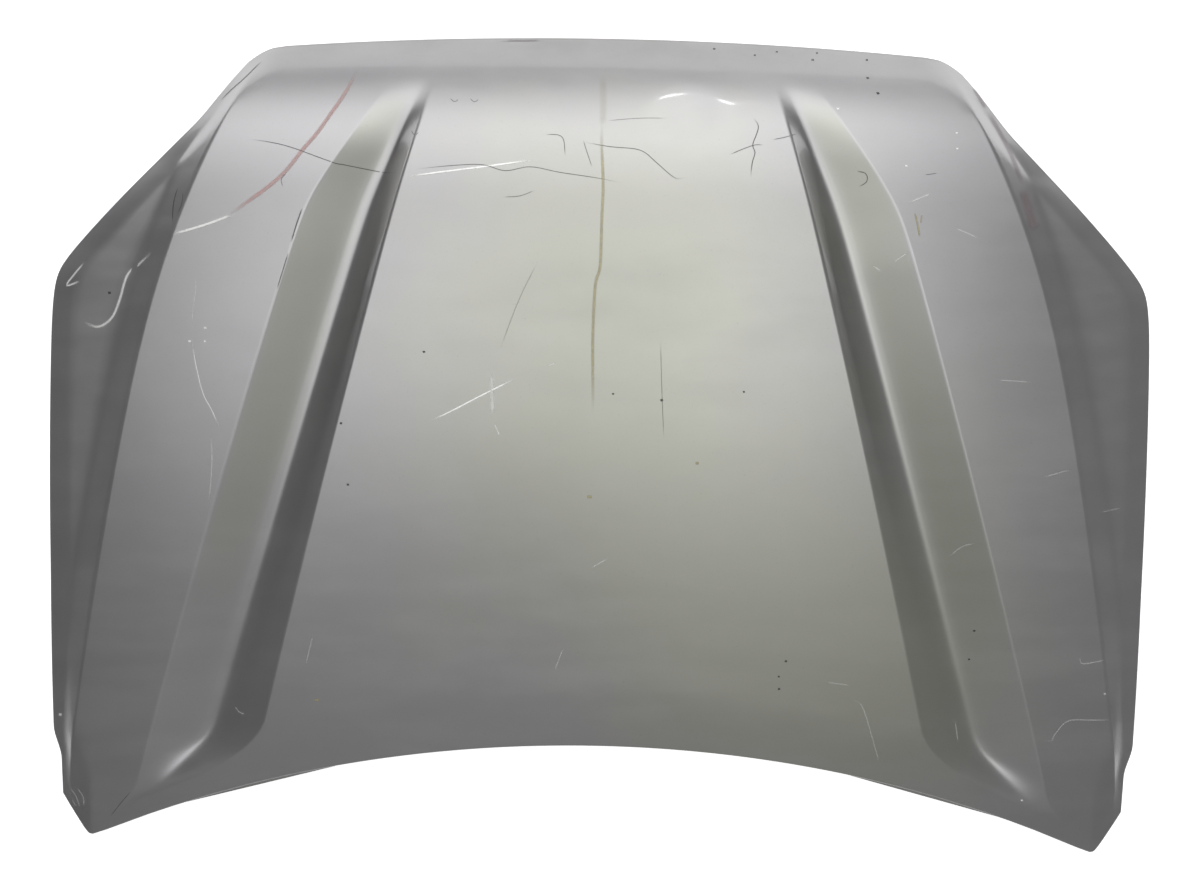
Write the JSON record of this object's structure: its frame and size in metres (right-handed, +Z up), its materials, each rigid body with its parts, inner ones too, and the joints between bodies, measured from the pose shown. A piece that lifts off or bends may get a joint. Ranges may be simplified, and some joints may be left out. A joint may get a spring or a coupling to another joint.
{
  "type": "car bonnet",
  "caption": "Pressed steel car bonnet with a raised centre, swept side valleys, a hemmed inner frame, latch striker, hinge plates and bump stops.",
  "frame": {"origin": "middle of the part's bounding box in plan, on the surface that it rests on", "axes": "+Y towards the nose edge, +Z up through the outer face, +X to the right with the nose edge at the top of the view; the part lies dome up on its nose corners and rear tips"},
  "size_m": [1.4996, 1.1204, 0.1617],
  "materials": {
    "outer_paint": "silver-grey metallic paint under clear coat, scratched and dusty",
    "inner_paint": "thin satin coat of the same silver-grey",
    "zinc_steel": "zinc plated, dull",
    "rubber": "matt black",
    "plastic": "fine grain",
    "mastic": "matt, dark grey"
  },
  "bodies": {
    "root": {"outer_skin": "outer_paint", "inner_frame": "inner_paint", "striker_reinforcement": "zinc_steel", "striker_base": "zinc_steel", "striker_loop": "zinc_steel", "striker_bolt_left": "zinc_steel", "striker_nut_left": "zinc_steel", "striker_bolt_right": "zinc_steel", "striker_nut_right": "zinc_steel", "hinge_plate_left": "zinc_steel", "hinge_nut_left_1": "zinc_steel", "hinge_nut_left_2": "zinc_steel", "bump_stop_left": "rubber", "mastic_left_1": "mastic", "mastic_left_2": "mastic", "mastic_left_3": "mastic", "mastic_left_4": "mastic", "mastic_left_5": "mastic", "mastic_left_6": "mastic", "mastic_left_7": "mastic", "hinge_plate_right": "zinc_steel", "hinge_nut_right_1": "zinc_steel", "hinge_nut_right_2": "zinc_steel", "bump_stop_right": "rubber", "mastic_right_1": "mastic", "mastic_right_2": "mastic", "mastic_right_3": "mastic", "mastic_right_4": "mastic", "mastic_right_5": "mastic", "mastic_right_6": "mastic", "mastic_right_7": "mastic", "prop_rod_bush": "plastic"}
  },
  "joints": []
}
